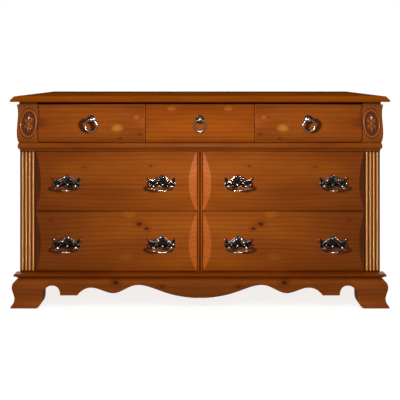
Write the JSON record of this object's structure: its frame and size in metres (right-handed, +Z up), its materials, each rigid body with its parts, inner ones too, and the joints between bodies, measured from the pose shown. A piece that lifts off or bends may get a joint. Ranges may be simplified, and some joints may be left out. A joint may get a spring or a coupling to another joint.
{
  "type": "dresser",
  "caption": "Long pine dresser with ogee small drawers over bulging large drawers, reeded pilasters, scalloped apron and ogee feet; drawers slide, bail and ring pulls swing.",
  "frame": {"origin": "middle of the dresser's footprint, on the floor", "axes": "+X to the right along the width, +Y to the back (drawers open towards -Y), +Z up"},
  "size_m": [1.68, 0.483, 0.939],
  "materials": {
    "pine": "varnished knotty pine",
    "inner_wood": "bare planed pine",
    "back_board": "thin bare board",
    "antique_brass": "antiqued brass"
  },
  "bodies": {
    "case": {"top_board": "pine", "left_side_panel": "pine", "right_side_panel": "pine", "back_panel": "back_board", "bottom_board": "inner_wood", "partitions": "inner_wood", "dust_panels": "inner_wood", "waist_shelf": "inner_wood", "top_rail": "pine", "waist_moulding": "pine", "left_pilaster": "pine", "right_pilaster": "pine", "left_corner_block": "pine", "right_corner_block": "pine", "centre_stile": "pine", "base_moulding": "pine", "front_apron": "pine", "side_aprons": "pine", "rear_feet": "inner_wood", "glue_blocks": "inner_wood", "drawer_guides": "inner_wood"},
    "small_left_drawer": {"small_left_front": "pine", "small_left_box": "inner_wood", "small_left_bottom": "inner_wood", "small_left_pull_mount": "antique_brass"},
    "small_left_ring": {"small_left_ring": "antique_brass"},
    "small_middle_drawer": {"small_middle_front": "pine", "small_middle_box": "inner_wood", "small_middle_bottom": "inner_wood", "small_middle_pull_mount": "antique_brass"},
    "small_middle_ring": {"small_middle_ring": "antique_brass"},
    "small_right_drawer": {"small_right_front": "pine", "small_right_box": "inner_wood", "small_right_bottom": "inner_wood", "small_right_pull_mount": "antique_brass"},
    "small_right_ring": {"small_right_ring": "antique_brass"},
    "upper_left_drawer": {"upper_left_front": "pine", "upper_left_box": "inner_wood", "upper_left_bottom": "inner_wood", "upper_left_pull_mounts": "antique_brass"},
    "upper_left_left_bail": {"upper_left_left_bail": "antique_brass"},
    "upper_left_right_bail": {"upper_left_right_bail": "antique_brass"},
    "upper_right_drawer": {"upper_right_front": "pine", "upper_right_box": "inner_wood", "upper_right_bottom": "inner_wood", "upper_right_pull_mounts": "antique_brass"},
    "upper_right_left_bail": {"upper_right_left_bail": "antique_brass"},
    "upper_right_right_bail": {"upper_right_right_bail": "antique_brass"},
    "lower_left_drawer": {"lower_left_front": "pine", "lower_left_box": "inner_wood", "lower_left_bottom": "inner_wood", "lower_left_pull_mounts": "antique_brass"},
    "lower_left_left_bail": {"lower_left_left_bail": "antique_brass"},
    "lower_left_right_bail": {"lower_left_right_bail": "antique_brass"},
    "lower_right_drawer": {"lower_right_front": "pine", "lower_right_box": "inner_wood", "lower_right_bottom": "inner_wood", "lower_right_pull_mounts": "antique_brass"},
    "lower_right_left_bail": {"lower_right_left_bail": "antique_brass"},
    "lower_right_right_bail": {"lower_right_right_bail": "antique_brass"}
  },
  "joints": [
    {"name": "small_left_slide", "type": "slide", "parent": "case", "child": "small_left_drawer", "axis": [0, -1, 0], "range_m": [0, 0.3]},
    {"name": "small_left_ring_swing", "type": "hinge", "parent": "small_left_drawer", "child": "small_left_ring", "pos_m": [-0.48725, -0.2237, 0.83356], "axis": [-1, 0, 0], "range_deg": [0, 80]},
    {"name": "small_middle_slide", "type": "slide", "parent": "case", "child": "small_middle_drawer", "axis": [0, -1, 0], "range_m": [0, 0.3]},
    {"name": "small_middle_ring_swing", "type": "hinge", "parent": "small_middle_drawer", "child": "small_middle_ring", "pos_m": [0, -0.2237, 0.83356], "axis": [-1, 0, 0], "range_deg": [0, 80]},
    {"name": "small_right_slide", "type": "slide", "parent": "case", "child": "small_right_drawer", "axis": [0, -1, 0], "range_m": [0, 0.3]},
    {"name": "small_right_ring_swing", "type": "hinge", "parent": "small_right_drawer", "child": "small_right_ring", "pos_m": [0.48725, -0.2237, 0.83356], "axis": [-1, 0, 0], "range_deg": [0, 80]},
    {"name": "upper_left_slide", "type": "slide", "parent": "case", "child": "upper_left_drawer", "axis": [0, -1, 0], "range_m": [0, 0.3]},
    {"name": "upper_left_left_bail_swing", "type": "hinge", "parent": "upper_left_drawer", "child": "upper_left_left_bail", "pos_m": [-0.594, -0.2296, 0.5385], "axis": [-1, 0, 0], "range_deg": [0, 80]},
    {"name": "upper_left_right_bail_swing", "type": "hinge", "parent": "upper_left_drawer", "child": "upper_left_right_bail", "pos_m": [-0.169, -0.2296, 0.5385], "axis": [-1, 0, 0], "range_deg": [0, 80]},
    {"name": "upper_right_slide", "type": "slide", "parent": "case", "child": "upper_right_drawer", "axis": [0, -1, 0], "range_m": [0, 0.3]},
    {"name": "upper_right_left_bail_swing", "type": "hinge", "parent": "upper_right_drawer", "child": "upper_right_left_bail", "pos_m": [0.169, -0.2296, 0.5385], "axis": [-1, 0, 0], "range_deg": [0, 80]},
    {"name": "upper_right_right_bail_swing", "type": "hinge", "parent": "upper_right_drawer", "child": "upper_right_right_bail", "pos_m": [0.594, -0.2296, 0.5385], "axis": [-1, 0, 0], "range_deg": [0, 80]},
    {"name": "lower_left_slide", "type": "slide", "parent": "case", "child": "lower_left_drawer", "axis": [0, -1, 0], "range_m": [0, 0.3]},
    {"name": "lower_left_left_bail_swing", "type": "hinge", "parent": "lower_left_drawer", "child": "lower_left_left_bail", "pos_m": [-0.594, -0.2296, 0.2645], "axis": [-1, 0, 0], "range_deg": [0, 80]},
    {"name": "lower_left_right_bail_swing", "type": "hinge", "parent": "lower_left_drawer", "child": "lower_left_right_bail", "pos_m": [-0.169, -0.2296, 0.2645], "axis": [-1, 0, 0], "range_deg": [0, 80]},
    {"name": "lower_right_slide", "type": "slide", "parent": "case", "child": "lower_right_drawer", "axis": [0, -1, 0], "range_m": [0, 0.3]},
    {"name": "lower_right_left_bail_swing", "type": "hinge", "parent": "lower_right_drawer", "child": "lower_right_left_bail", "pos_m": [0.169, -0.2296, 0.2645], "axis": [-1, 0, 0], "range_deg": [0, 80]},
    {"name": "lower_right_right_bail_swing", "type": "hinge", "parent": "lower_right_drawer", "child": "lower_right_right_bail", "pos_m": [0.594, -0.2296, 0.2645], "axis": [-1, 0, 0], "range_deg": [0, 80]}
  ]
}
